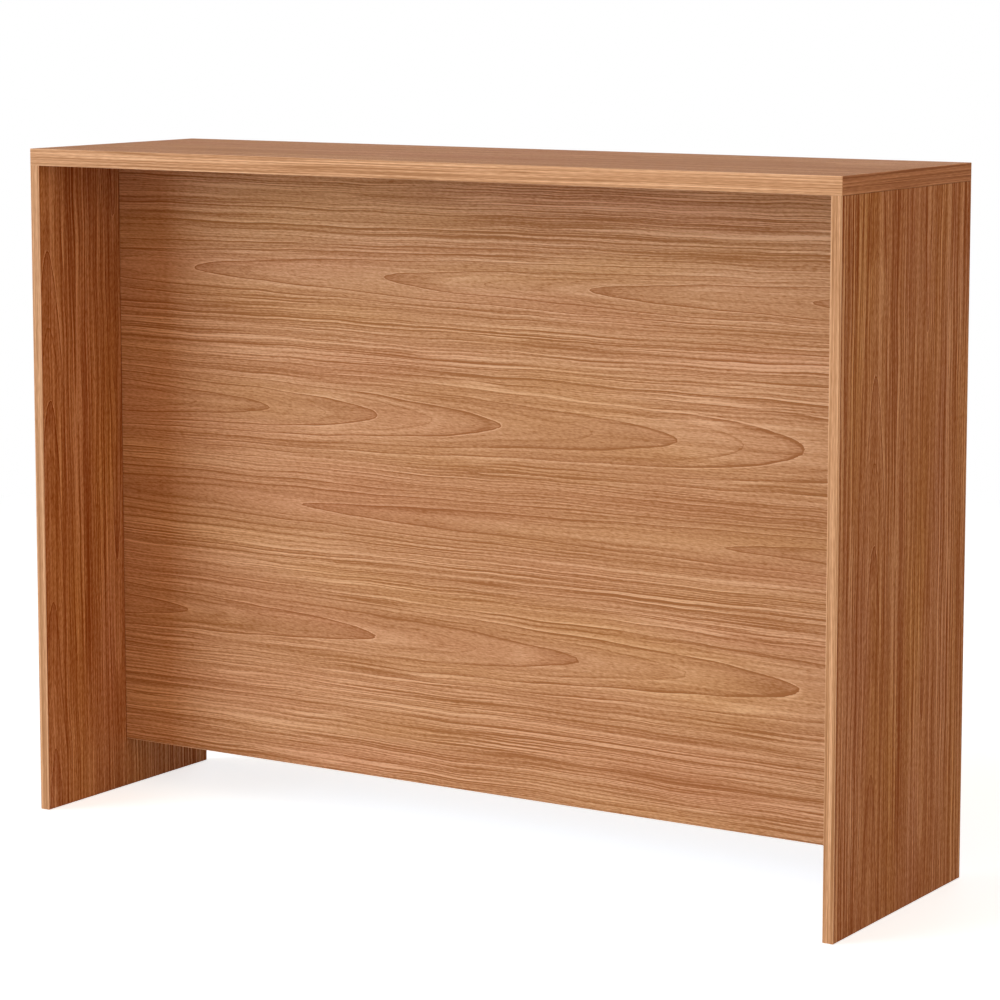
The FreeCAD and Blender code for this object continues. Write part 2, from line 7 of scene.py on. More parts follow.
import bpy
import numpy as np
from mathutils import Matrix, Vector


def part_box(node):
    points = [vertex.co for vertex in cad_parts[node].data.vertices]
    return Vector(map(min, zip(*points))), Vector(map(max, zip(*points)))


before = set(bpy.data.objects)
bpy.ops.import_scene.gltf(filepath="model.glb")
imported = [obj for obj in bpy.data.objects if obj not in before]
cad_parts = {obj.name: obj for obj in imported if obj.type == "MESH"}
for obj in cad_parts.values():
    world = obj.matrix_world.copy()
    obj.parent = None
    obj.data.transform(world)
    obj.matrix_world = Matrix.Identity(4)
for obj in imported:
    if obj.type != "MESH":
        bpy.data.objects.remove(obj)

# Looks of the breakfast bar: wood decor on its boards, edge bands and knock-down fittings.
# Metres, in the model's own frame: +X along the width, front at -Y, +Z up, floor at zero.

LOG = logging.getLogger("breakfast_bar")
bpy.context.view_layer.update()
MM = 0.001
WHITE = (1.0, 1.0, 1.0, 1.0)
BLACK = (0.0, 0.0, 0.0, 1.0)

Colour = tuple[float, float, float, float]


def paint(red: int, green: int, blue: int) -> Colour:
    """Turns a colour as seen on screen into a shader's linear colour, by the sRGB curve.

    Args:
        red, green, blue: Screen values from 0 to 255.

    Returns:
        The linear colour, with full alpha.
    """
    screen = np.array([red, green, blue]) / 255
    linear = np.where(screen <= 0.04045, screen / 12.92, ((screen + 0.055) / 1.055) ** 2.4)
    return (*(float(value) for value in linear), 1.0)


class Axis(Enum):
    """An axis of the model, with its place in a vector."""

    WIDTH = 0
    DEPTH = 1
    HEIGHT = 2


class Heading(Enum):
    """Which way along the grain the tips of an arch column point."""

    FORWARD = 1
    BACK = -1


class Signal:
    """A number that changes over a surface, which formulas can use like a plain number."""

    def __init__(self, wiring: "Wiring", socket: bpy.types.NodeSocket) -> None:
        """Keeps the socket that gives the number, and the tree it is in."""
        self.wiring = wiring
        self.socket = socket

    def __add__(self, other: "Number") -> "Signal":
        """Sum."""
        return self.wiring.calculate("ADD", self, other)

    def __sub__(self, other: "Number") -> "Signal":
        """Difference."""
        return self.wiring.calculate("SUBTRACT", self, other)

    def __rsub__(self, other: "Number") -> "Signal":
        """Difference from a plain number."""
        return self.wiring.calculate("SUBTRACT", other, self)

    def __mul__(self, other: "Number") -> "Signal":
        """Product."""
        return self.wiring.calculate("MULTIPLY", self, other)

    def __truediv__(self, other: "Number") -> "Signal":
        """Quotient."""
        return self.wiring.calculate("DIVIDE", self, other)

    def __pow__(self, other: "Number") -> "Signal":
        """Power."""
        return self.wiring.calculate("POWER", self, other)

    __radd__ = __add__

    def apply(self, operation: str, *others: "Number") -> "Signal":
        """Any other operation of a math node, with this number as its first input."""
        return self.wiring.calculate(operation, self, *others)

    def ease(self, start: float, end: float) -> "Signal":
        """A smooth step that is 0 before start and 1 after end, or falls if end is first."""
        node = self.wiring.node("ShaderNodeMapRange", interpolation_type="SMOOTHSTEP")
        low, high = sorted((start, end))
        bottom, top = (0.0, 1.0) if start < end else (1.0, 0.0)
        for name, value in (
            ("Value", self),
            ("From Min", low),
            ("From Max", high),
            ("To Min", bottom),
            ("To Max", top),
        ):
            self.wiring.feed(node.inputs[name], value)
        return Signal(self.wiring, node.outputs["Result"])

    def vein(self, width: float) -> "Signal":
        """1 where this number is zero, falling to 0 where it reaches the width."""
        return self.apply("ABSOLUTE").ease(width, 0.0)

    def hypot(self, other: "Number") -> "Signal":
        """The root of the sum of both squares."""
        return (self * self + other * other).apply("SQRT")

    def level(self) -> "Signal":
        """A tone from -1 to 1, brought to the range from 0 to 1 of a colour ramp."""
        return self * 0.5 + 0.5


Number = Signal | float
Feed = Signal | bpy.types.NodeSocket | float | Colour


class Wiring:
    """Places nodes in one node tree and links them."""

    def __init__(self, tree: bpy.types.NodeTree) -> None:
        """Keeps the tree."""
        self.tree = tree

    def node(self, kind: str, **settings: object) -> bpy.types.Node:
        """A new node with its settings."""
        made = self.tree.nodes.new(kind)
        for name, value in settings.items():
            setattr(made, name, value)
        return made

    def feed(self, socket: bpy.types.NodeSocket, value: Feed) -> None:
        """Links a signal or socket to an input, or sets the input to a plain value."""
        if isinstance(value, Signal):
            value = value.socket
        if isinstance(value, bpy.types.NodeSocket):
            self.tree.links.new(value, socket)
        else:
            socket.default_value = value

    def calculate(self, operation: str, *values: Number) -> Signal:
        """The result of a math node."""
        node = self.node("ShaderNodeMath", operation=operation)
        for socket, value in zip(node.inputs, values):
            self.feed(socket, value)
        return Signal(self, node.outputs["Value"])

    def vector(self, x: Number, y: Number, z: Number = 0.0) -> bpy.types.NodeSocket:
        """Three numbers as one vector."""
        node = self.node("ShaderNodeCombineXYZ")
        for socket, value in zip(node.inputs, (x, y, z)):
            self.feed(socket, value)
        return node.outputs["Vector"]

    def place(self) -> tuple[Signal, Signal, Signal]:
        """The point being shaded, along the width, depth and height."""
        here = self.node("ShaderNodeTexCoord").outputs["Object"]
        split = self.node("ShaderNodeSeparateXYZ")
        self.feed(split.inputs["Vector"], here)
        return tuple(Signal(self, split.outputs[name]) for name in "XYZ")

    def noise(
        self, point: tuple[Number, ...], detail: float = 2.0, roughness: float = 0.5
    ) -> Signal:
        """Smooth noise about zero, from about -0.5 to 0.5.

        Args:
            point: Two or three coordinates, already scaled so that a blob is 1 wide.
            detail: How many finer octaves are added.
            roughness: How strong each finer octave is.

        Returns:
            The noise.
        """
        node = self.node("ShaderNodeTexNoise", noise_dimensions=f"{len(point)}D")
        node.inputs["Scale"].default_value = 1.0
        node.inputs["Detail"].default_value = detail
        node.inputs["Roughness"].default_value = roughness
        self.feed(node.inputs["Vector"], self.vector(*point))
        return Signal(self, node.outputs["Fac"]) - 0.5

    def dice(self, first: Number, second: Number) -> Signal:
        """A random number from 0 to 1 for each pair of whole numbers."""
        node = self.node("ShaderNodeTexWhiteNoise", noise_dimensions="2D")
        self.feed(node.inputs["Vector"], self.vector(first, second))
        return Signal(self, node.outputs["Value"])

    def blend(
        self, share: Number, first: Feed, second: Feed, kind: str = "MIX"
    ) -> bpy.types.NodeSocket:
        """Mixes two colours: share 0 gives the first, 1 the second, or their product."""
        node = self.node("ShaderNodeMix", data_type="RGBA", clamp_factor=True, blend_type=kind)
        self.feed(node.inputs["Factor"], share)
        colours = [socket for socket in node.inputs if socket.type == "RGBA"]
        for socket, colour in zip(colours, (first, second)):
            self.feed(socket, colour)
        return next(socket for socket in node.outputs if socket.type == "RGBA")

    def ramp(self, level: Number, stops: dict[float, Colour]) -> bpy.types.NodeSocket:
        """A colour ramp through the given stops."""
        node = self.node("ShaderNodeValToRGB")
        elements = node.color_ramp.elements
        while len(elements) < len(stops):
            elements.new(0.5)
        for element, (position, colour) in zip(elements, sorted(stops.items())):
            element.position = position
            element.color = colour
        self.feed(node.inputs["Fac"], level)
        return node.outputs["Color"]

    def use(self, group: bpy.types.NodeTree, **feeds: Feed) -> dict[str, Signal]:
        """Places a node group.

        Args:
            group: The group.
            feeds: What goes into its inputs, by name in lower case.

        Returns:
            Its outputs, by name in lower case.
        """
        node = self.node("ShaderNodeGroup", node_tree=group)
        for socket in node.inputs:
            if socket.name.lower() in feeds:
                self.feed(socket, feeds[socket.name.lower()])
        return {socket.name.lower(): Signal(self, socket) for socket in node.outputs}

    def bump(self, height: Number, distance: float) -> bpy.types.NodeSocket:
        """A normal that follows a height, which is 1 at distance metres."""
        node = self.node("ShaderNodeBump")
        node.inputs["Distance"].default_value = distance
        self.feed(node.inputs["Height"], height)
        return node.outputs["Normal"]


def make_group(
    name: str,
    inputs: tuple[str, ...],
    outputs: dict[str, str],
    formula: Callable[..., dict[str, Feed]],
) -> bpy.types.NodeTree:
    """Builds a shader node group.

    Args:
        name: The group's name.
        inputs: Names of its numbers.
        outputs: Names of its outputs, each with "Float" or "Color".
        formula: Takes the wiring and the inputs, and gives the outputs by name.

    Returns:
        The group.
    """
    tree = bpy.data.node_groups.new(name, "ShaderNodeTree")
    for label in inputs:
        tree.interface.new_socket(label, in_out="INPUT", socket_type="NodeSocketFloat")
    for label, kind in outputs.items():
        tree.interface.new_socket(label, in_out="OUTPUT", socket_type=f"NodeSocket{kind}")
    wiring = Wiring(tree)
    entry = wiring.node("NodeGroupInput")
    results = formula(wiring, *(Signal(wiring, entry.outputs[label]) for label in inputs))
    end = wiring.node("NodeGroupOutput")
    for label, value in results.items():
        wiring.feed(end.inputs[label], value)
    return tree


@dataclass(frozen=True)
class Streak:
    """Noise drawn out along the grain.

    Its numbers are the blobs per metre along and across the grain, and its weight. The
    slant pushes each row of blobs along the grain, so that they don't line up in columns.
    """

    along: float
    across: float
    weight: float
    detail: float = 2.0
    roughness: float = 0.5
    slant: float = 0.0

    def read(self, wiring: Wiring, along: Signal, across: Signal) -> Signal:
        """The weighted noise at a place on the print."""
        pushed = along + across * self.slant if self.slant else along
        point = (pushed * self.along, across * self.across)
        return wiring.noise(point, self.detail, self.roughness) * self.weight


@dataclass(frozen=True)
class Speckle:
    """Noise in space. Its numbers are the blobs per metre, and those along a grain."""

    per_metre: float
    detail: float = 2.0
    roughness: float = 0.5
    along: float = 0.0

    def read(
        self, wiring: Wiring, place: tuple[Signal, ...], grain: Axis | None = None
    ) -> Signal:
        """The noise at a place, drawn out along the grain if there is one."""
        scales = [self.per_metre] * 3
        if grain is not None:
            scales[grain.value] = self.along
        point = tuple(value * scale for value, scale in zip(place, scales))
        return wiring.noise(point, self.detail, self.roughness)


@dataclass(frozen=True)
class Spot:
    """What the figure says of the point being shaded."""

    wiring: Wiring
    rings: Signal
    steep: Signal
    apart: Signal
    heart: Signal
    along: Signal
    across: Signal

    def streak(self, streak: Streak, shift: float = 0.0) -> Signal:
        """A streak that runs straight with the grain."""
        across = self.across + shift if shift else self.across
        return streak.read(self.wiring, self.along, across)

    def flow(self, streak: Streak, shift: float = 0.0) -> Signal:
        """A streak that follows the rings."""
        across = self.rings + self.apart
        if shift:
            across = across + shift
        return streak.read(self.wiring, self.along, across)

    def draw(self, number: Signal, shift: float = 0.0) -> Signal:
        """A random number from 0 to 1 for a ring."""
        return self.wiring.dice(number, self.apart + shift if shift else self.apart)


@dataclass(frozen=True)
class RingLines:
    """Light and dark of the print, worked out from the ring number.

    Within a ring the share f runs from 0 to 1. Each ring ends in a dark line and starts
    with a pale one, of an even width in metres: f is divided by the rings per metre there.
    Late wood darkens a little more as f to a high power. Each ring has its own random
    strength, and the lines fade in and out along the grain. Veins are thin lines where a
    noise that follows the rings is zero, some dark and some pale, and hairs are the same
    with straight noise. The others are streaks: flow follows the rings, straight and
    strands run with the grain, and clouds are broad. The straight ones gather in places and
    leave others calm. Each shift moves a draw or a streak to numbers of its own.
    """

    late_power: float = 6.0
    late_weight: float = 0.65
    dark_width: float = 3.2 * MM
    dark_weight: float = 1.1
    pale_width: float = 2.2 * MM
    pale_weight: float = 0.9
    half_weight: float = 0.9
    half_least: float = 0.5
    band_weight: float = 0.08
    fade: Streak = Streak(4.0, 45.0, 3.0)
    fade_level: float = 0.8
    dark_veins: Streak = Streak(1.1, 1.2, 1.0, detail=1.0)
    pale_veins: Streak = Streak(1.3, 0.9, 1.0, detail=1.0)
    vein_width: float = 0.05
    vein_gap: float = 0.75
    flow: Streak = Streak(0.7, 2.8, 1.9, roughness=0.6)
    straight: Streak = Streak(1.2, 330.0, 3.0, roughness=0.6)
    hairs: Streak = Streak(1.1, 180.0, 1.0, detail=0.0)
    hair_width: float = 0.08
    hair_weight: float = 0.8
    strands: Streak = Streak(1.1, 150.0, 0.35, detail=1.0)
    gather: Streak = Streak(1.6, 14.0, 1.8, detail=1.0)
    clouds: Streak = Streak(1.4, 24.0, 0.6, detail=1.0)
    fibres: Streak = Streak(140.0, 430.0, 1.2, detail=1.0, slant=0.9)
    tints: Streak = Streak(1.9, 13.0, 2.8, detail=1.0)
    calm: float = 0.7
    pores: Streak = Streak(70.0, 900.0, 1.0, detail=1.0)
    pore_from: float = -0.09
    pore_to: float = -0.2
    pore_weight: float = 0.5
    heart_tint: float = 0.6
    zone_step: float = 9.7
    pale_shift: float = 1.0
    band_shift: float = 2.0
    half_shift: float = 3.0
    pale_vein_shift: float = 0.5
    pale_hair_shift: float = 3.0
    gather_shift: float = 2.0
    tint_shift: float = 1.0

    def build(self, name: str) -> bpy.types.NodeTree:
        """The node group that draws the lines."""
        inputs = ("Rings", "Steep", "Zone", "Heart", "Along", "Across")
        outputs = {"Tone": "Float", "Tint": "Float", "Pore": "Float"}
        return make_group(name, inputs, outputs, self.formula)

    def formula(
        self,
        wiring: Wiring,
        rings: Signal,
        steep: Signal,
        zone: Signal,
        heart: Signal,
        along: Signal,
        across: Signal,
    ) -> dict[str, Feed]:
        """The tone about zero, the tint from golden to rosy, and the pores."""
        spot = Spot(wiring, rings, steep, zone * self.zone_step, heart, along, across)
        fade = (spot.streak(self.fade) + self.fade_level).apply("MAXIMUM", heart)
        ring = rings.apply("FLOOR")
        share = rings - ring
        strength = spot.draw(ring).apply("MAXIMUM", heart)
        late = share**self.late_power * strength
        dark = ((1.0 - share) / steep).ease(self.dark_width, 0.0) * strength
        pale = (share / steep).ease(self.pale_width, 0.0) * spot.draw(ring, self.pale_shift)
        lines = pale * self.pale_weight - dark * self.dark_weight - late * self.late_weight
        lines = (lines - self.between(spot) * self.half_weight) * fade
        veins = self.veins(spot) * fade * (1.0 - heart * self.vein_gap)
        band = spot.draw(ring, self.band_shift) - 0.5
        pore = spot.streak(self.pores).ease(self.pore_from, self.pore_to)
        marks = band * self.band_weight - pore * self.pore_weight
        tone = lines + veins + marks + self.streaks(spot)
        tint = late * heart * self.heart_tint + spot.streak(self.tints, self.tint_shift)
        return {"Tone": tone, "Tint": tint, "Pore": pore}

    def between(self, spot: Spot) -> Signal:
        """The lines halfway between the rings, which only the arches have."""
        rings = spot.rings + 0.5
        ring = rings.apply("FLOOR")
        close = (1.0 - (rings - ring)) / spot.steep
        chance = spot.draw(ring, self.half_shift).apply("MAXIMUM", self.half_least)
        return close.ease(self.dark_width, 0.0) * chance * spot.heart

    def veins(self, spot: Spot) -> Signal:
        """Thin lines that follow the rings: the pale ones less the dark ones."""
        dark = spot.flow(self.dark_veins).vein(self.vein_width)
        pale = spot.flow(self.pale_veins, self.pale_vein_shift).vein(self.vein_width)
        return pale - dark

    def streaks(self, spot: Spot) -> Signal:
        """The sum of all streaks, which are calmer round the arches."""
        gather = spot.streak(self.gather, self.gather_shift) + 1.0
        calm = 1.0 - spot.heart * self.calm
        dark = spot.streak(self.hairs).vein(self.hair_width)
        pale = spot.streak(self.hairs, self.pale_hair_shift).vein(self.hair_width)
        return (
            spot.flow(self.flow) * (1.0 - spot.heart * self.vein_gap)
            + spot.streak(self.straight) * gather * calm
            + (pale - dark) * gather * calm * self.hair_weight
            + spot.streak(self.strands)
            + spot.streak(self.clouds)
            + spot.streak(self.fibres)
        )


@dataclass(frozen=True)
class Arch:
    """A column of nested arches in the printed figure, with its tips on one line.

    The nth tip lies where the climb along the column is the whole number n.
    """

    across: float
    first_tip: float
    tips: int
    heading: Heading
    roundness: float
    repeat: float
    lean: float = 0.0
    reach: float = 65 * MM

    def bend(self, across: Signal) -> Signal:
        """Distance from the column, rounded off near it."""
        return (across - self.across).hypot(self.roundness)

    def climb(self, along: Signal) -> Signal:
        """Rings passed along the column: tips per repeat, plus a sine squared that leans."""
        share = (along - self.first_tip) / self.repeat
        wave = (share * math.pi).apply("SINE")
        return share * (self.tips * self.heading.value) + wave * wave * self.lean

    def hold(self, across: Signal) -> Signal:
        """1 on the column, falling to 0 beside it as a bell curve."""
        away = (across - self.across) / self.reach
        return (away * away * -1.0).apply("EXPONENT")


@dataclass(frozen=True)
class Figure:
    """The printed growth rings: straight lines along the grain, bent round arch columns.

    The number of rings at a point is the sum of the bends round each arch, less the
    distances from the folds between them, times the rings per metre, plus the climb along
    each arch where that arch holds. A ring line shows at each whole number.
    """

    name: str
    arches: tuple[Arch, ...]
    lines: RingLines = RingLines()
    rings_per_metre: float = 140.0
    fold_roundness: float = 3 * MM
    wander: Streak = Streak(2.2, 9.0, 7 * MM, detail=1.0)
    sway: Streak = Streak(7.0, 24.0, 6 * MM, detail=1.0)
    ragged: Streak = Streak(16.0, 90.0, 1.6 * MM, detail=1.0)
    fray: Streak = Streak(60.0, 240.0, 0.03)

    def folds(self) -> list[float]:
        """Lines halfway between neighbouring arches."""
        columns = sorted(arch.across for arch in self.arches)
        return [(low + high) / 2 for low, high in zip(columns, columns[1:])]

    def rings_at_rest(self, across: float) -> float:
        """The ring number at a place across the grain, without any climb."""
        bends = sum(math.hypot(across - arch.across, arch.roundness) for arch in self.arches)
        folds = sum(math.hypot(across - fold, self.fold_roundness) for fold in self.folds())
        return self.rings_per_metre * (bends - folds)

    def build(self) -> bpy.types.NodeTree:
        """The node group that works out the rings at a place on the print.

        Returns:
            The group. It gives the ring number, the rings per metre there, the number of
            folds passed, how far an arch holds, and the place on the wandering grain.
        """
        names = ("Rings", "Steep", "Zone", "Heart", "Across")
        outputs = {name: "Float" for name in names}
        return make_group(f"{self.name}_rings", ("Along", "Across"), outputs, self.formula)

    def formula(self, wiring: Wiring, along: Signal, across: Signal) -> dict[str, Feed]:
        """The ring number, as the class says, on a grain that wanders a little."""
        drifted = across
        for streak in (self.wander, self.sway, self.ragged):
            drifted = drifted + streak.read(wiring, along, across)
        frayed = self.fray.read(wiring, along, across)
        rings, slope, rate, zone, heart = 0.0, 0.0, 0.0, 0.0, 0.0
        for arch in self.arches:
            hold = arch.hold(drifted)
            bend = arch.bend(drifted)
            settle = self.rings_at_rest(arch.across) % 1.0
            rings = bend * self.rings_per_metre + rings
            rings = rings + hold * (arch.climb(along) - settle + frayed)
            slope = (drifted - arch.across) / bend + slope
            rate = hold * (arch.tips / arch.repeat) + rate
            heart = hold + heart
        for fold in self.folds():
            away = drifted - fold
            bend = away.hypot(self.fold_roundness)
            rings = rings - bend * self.rings_per_metre
            slope = slope - away / bend
            zone = drifted.apply("GREATER_THAN", fold) + zone
        steep = (slope * self.rings_per_metre).hypot(rate)
        return {"Rings": rings, "Steep": steep, "Zone": zone, "Heart": heart, "Across": drifted}


@dataclass(frozen=True)
class FaceFigure:
    """Where one face of a board lies on the printed sheet."""

    along: float
    across: float


@dataclass(frozen=True)
class ChipCore:
    """Pressed wood chips of the board's core: flat cells of mixed browns, with specks."""

    chips_per_metre: float = 420.0
    specks: Speckle = Speckle(900.0)
    speck_share: float = 0.5
    dark: Colour = paint(120, 88, 58)
    middle: Colour = paint(176, 142, 104)
    middle_at: float = 0.45
    pale: Colour = paint(209, 180, 143)

    def build(self) -> bpy.types.NodeTree:
        """The node group of the core's colour and height."""
        outputs = {"Colour": "Color", "Height": "Float"}
        return make_group("pressed_chips", ("X", "Y", "Z"), outputs, self.formula)

    def formula(self, wiring: Wiring, *place: Signal) -> dict[str, Feed]:
        """The colour and height at a place in the board."""
        cells = wiring.node("ShaderNodeTexVoronoi", voronoi_dimensions="3D")
        cells.inputs["Scale"].default_value = 1.0
        where = wiring.vector(*(value * self.chips_per_metre for value in place))
        wiring.feed(cells.inputs["Vector"], where)
        split = wiring.node("ShaderNodeSeparateColor")
        wiring.feed(split.inputs["Color"], cells.outputs["Color"])
        tone = Signal(wiring, split.outputs["Red"])
        speck = self.specks.read(wiring, place)
        stops = {0.0: self.dark, self.middle_at: self.middle, 1.0: self.pale}
        colour = wiring.ramp(tone + speck * self.speck_share, stops)
        return {"Colour": colour, "Height": tone + speck}


class Prints:
    """The shader groups that several materials share, each built once."""

    def __init__(self, figures: tuple[Figure, ...]) -> None:
        """Builds the groups of each figure and that of the board's core."""
        self.rings = {each.name: each.build() for each in figures}
        self.lines = {each.name: each.lines.build(f"{each.name}_lines") for each in figures}
        self.chips = ChipCore().build()


CENTRE_REPEAT = 697 * MM

# Each arch: its place across, first tip, number of tips, heading, roundness and repeat
CENTRE_FIGURE = Figure(
    name="centre",
    arches=(
        Arch(292 * MM, -534 * MM, 2, Heading.FORWARD, 65 * MM, CENTRE_REPEAT),
        Arch(474 * MM, -309 * MM, 1, Heading.BACK, 48 * MM, CENTRE_REPEAT),
        Arch(613 * MM, -374 * MM, 3, Heading.FORWARD, 57 * MM, CENTRE_REPEAT, lean=0.26),
        Arch(815 * MM, -509 * MM, 2, Heading.BACK, 53 * MM, CENTRE_REPEAT),
    ),
)
SIDE_FIGURE = Figure(
    name="side",
    arches=(
        Arch(-60 * MM, 780 * MM, 1, Heading.BACK, 32 * MM, 525 * MM),
        Arch(90 * MM, 205 * MM, 2, Heading.FORWARD, 62 * MM, 530 * MM, lean=-0.16),
    ),
    lines=RingLines(
        late_weight=0.45,
        dark_weight=0.9,
        strands=Streak(1.7, 210.0, 2.3, detail=1.0),
        clouds=Streak(1.4, 24.0, 0.3, detail=1.0),
    ),
)


def new_material(name: str) -> tuple[bpy.types.Material, Wiring, bpy.types.Node]:
    """An empty material with a Principled shader on its output.

    Args:
        name: The material's name.

    Returns:
        The material, its wiring and its shader node.
    """
    material = bpy.data.materials.new(name)
    material.use_nodes = True
    material.node_tree.nodes.clear()
    wiring = Wiring(material.node_tree)
    shader = wiring.node("ShaderNodeBsdfPrincipled")
    output = wiring.node("ShaderNodeOutputMaterial")
    wiring.feed(output.inputs["Surface"], shader.outputs["BSDF"])
    return material, wiring, shader


def dress(node: str, material: bpy.types.Material) -> None:
    """Gives a CAD node its material."""
    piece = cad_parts[node]
    if not piece.material_slots:
        piece.data.materials.append(material)
    for slot in piece.material_slots:
        slot.material = material
    LOG.info("dressed %s with %s", node, material.name)


def span(node: str, axis: Axis) -> tuple[float, float]:
    """The middle of a CAD node along an axis, and half its length there."""
    low, high = (corner[axis.value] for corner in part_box(node))
    return (low + high) / 2, (high - low) / 2


@dataclass(frozen=True)
class DecorFinish:
    """Satin wood decor pressed on the two faces of a chipboard panel."""

    dark: Colour
    base: Colour
    pale: Colour
    # joint: the colour of a dark glue line and of painted contact shade along the board's edges
    joint: Colour
    rosy: Colour = (0.96, 0.82, 0.86, 1.0)
    golden: Colour = (1.0, 1.01, 0.76, 1.0)
    tint_share: float = 0.45
    roughness: float = 0.6
    specular: float = 0.06
    glue_and_shade_width: float = 1.2 * MM
    glue_and_shade_share: float = 0.55
    foil: float = 0.3 * MM
    foil_end: float = 0.45 * MM
    tone_gloss: float = -0.03
    pore_gloss: float = 0.1
    core_gloss: float = 0.35
    tone_relief: float = 0.25
    relief: float = 0.04 * MM

    def build(self, board: "Board", prints: Prints) -> bpy.types.Material:
        """The material of one board.

        Args:
            board: The board, which says how its grain runs and which figure it has.
            prints: The shared groups.

        Returns:
            The material.
        """
        material, wiring, shader = new_material(f"decor_{board.node}")
        place = wiring.place()
        lines = self.printed(wiring, place, board, prints)
        stops = {0.0: self.dark, 0.5: self.base, 1.0: self.pale}
        colour = wiring.ramp(lines["tone"].level(), stops)
        tint = lines["tint"] * self.tint_share
        colour = wiring.blend(tint, colour, self.rosy, "MULTIPLY")
        colour = wiring.blend(tint * -1.0, colour, self.golden, "MULTIPLY")
        # painted contact shade and a glue line darken the board along its edges
        glue_line_and_contact_shade = self.glue_line_and_contact_shade(place, board)
        colour = wiring.blend(glue_line_and_contact_shade * self.glue_and_shade_share, colour, self.joint)
        chips = wiring.use(prints.chips, x=place[0], y=place[1], z=place[2])
        middle, half = span(board.node, board.thickness)
        depth = (place[board.thickness.value] - middle).apply("ABSOLUTE")
        core = depth.ease(half - self.foil, half - self.foil_end)
        colour = wiring.blend(core, colour, chips["colour"])
        wiring.feed(shader.inputs["Base Color"], colour)
        gloss = lines["tone"] * self.tone_gloss + lines["pore"] * self.pore_gloss
        gloss = self.roughness + gloss + core * self.core_gloss
        wiring.feed(shader.inputs["Roughness"], gloss)
        shader.inputs["Specular IOR Level"].default_value = self.specular
        relief = lines["tone"] * self.tone_relief - lines["pore"]
        height = relief * (1.0 - core) + chips["height"] * core
        wiring.feed(shader.inputs["Normal"], wiring.bump(height, self.relief))
        return material

    def printed(
        self, wiring: Wiring, place: tuple[Signal, ...], board: "Board", prints: Prints
    ) -> dict[str, Signal]:
        """The lines of the print, with each face's own stretch of the printed sheet.

        Args:
            wiring: The material's wiring.
            place: The point being shaded.
            board: The board, which says how its grain runs and which figure it has.
            prints: The shared groups.

        Returns:
            The tone, the tint and the pores.
        """
        middle, _ = span(board.node, board.thickness)
        side = place[board.thickness.value].apply("GREATER_THAN", middle)
        near, far = board.faces
        along = place[board.grain.value] - (side * (far.along - near.along) + near.along)
        across = place[board.across.value] * board.across_sign
        across = across - (side * (far.across - near.across) + near.across)
        rings = wiring.use(prints.rings[board.figure.name], along=along, across=across)
        return wiring.use(prints.lines[board.figure.name], along=along, **rings)

    def glue_line_and_contact_shade(self, place: tuple[Signal, ...], board: "Board") -> Signal:
        """Partly a fine dark glue line and partly painted contact shade, along every edge of the
        board where a band or another board meets it: 1 at the board's edge, 0 inside.
        """
        distances = []
        for axis in (board.grain, board.across):
            middle, half = span(board.node, axis)
            distances.append(half - (place[axis.value] - middle).apply("ABSOLUTE"))
        nearest = distances[0].apply("MINIMUM", distances[1])
        return nearest.ease(self.glue_and_shade_width, 0.0)


@dataclass(frozen=True)
class BandFinish:
    """Thin decor edge band, paler than the boards, with a painted highlight along its arrises.
    """

    dark: Colour
    base: Colour
    pale: Colour
    # arris: the colour of the painted highlight along the band's arrises
    arris_highlight: Colour
    roughness: float = 0.55
    specular: float = 0.1
    arris_highlight_width: float = 0.9 * MM
    arris_highlight_share: float = 0.6
    veins: Streak = Streak(0.9, 150.0, 1.0)
    vein_width: float = 0.045
    vein_weight: float = 1.2
    lines: Streak = Streak(1.5, 330.0, 4.2, detail=3.0, roughness=0.7)
    fibres: Streak = Streak(60.0, 900.0, 1.3, detail=1.0)
    tone_gloss: float = 0.03
    relief: float = 0.02 * MM

    def build(self, name: str, node: str, grain: Axis, cross: Axis) -> bpy.types.Material:
        """The material of bands that run one way.

        Args:
            name: The material's name.
            node: A band that has this material.
            grain: The axis that the band runs along.
            cross: The axis across the band's wide face.

        Returns:
            The material.
        """
        material, wiring, shader = new_material(name)
        place = wiring.place()
        along = place[grain.value]
        side, depth = (place[axis.value] for axis in Axis if axis is not grain)
        across = side + depth
        vein = self.veins.read(wiring, along, across).vein(self.vein_width)
        tone = (
            self.lines.read(wiring, along, across)
            + self.fibres.read(wiring, along, across)
            - vein * self.vein_weight
        )
        colour = wiring.ramp(tone.level(), {0.0: self.dark, 0.5: self.base, 1.0: self.pale})
        # painted highlight: the colour turns pale near each arris of the band
        middle, half = span(node, cross)
        away = (place[cross.value] - middle).apply("ABSOLUTE")
        edge = away.ease(half - self.arris_highlight_width, half)
        colour = wiring.blend(edge * self.arris_highlight_share, colour, self.arris_highlight)
        wiring.feed(shader.inputs["Base Color"], colour)
        wiring.feed(shader.inputs["Roughness"], self.roughness - tone * self.tone_gloss)
        shader.inputs["Specular IOR Level"].default_value = self.specular
        wiring.feed(shader.inputs["Normal"], wiring.bump(tone, self.relief))
        return material


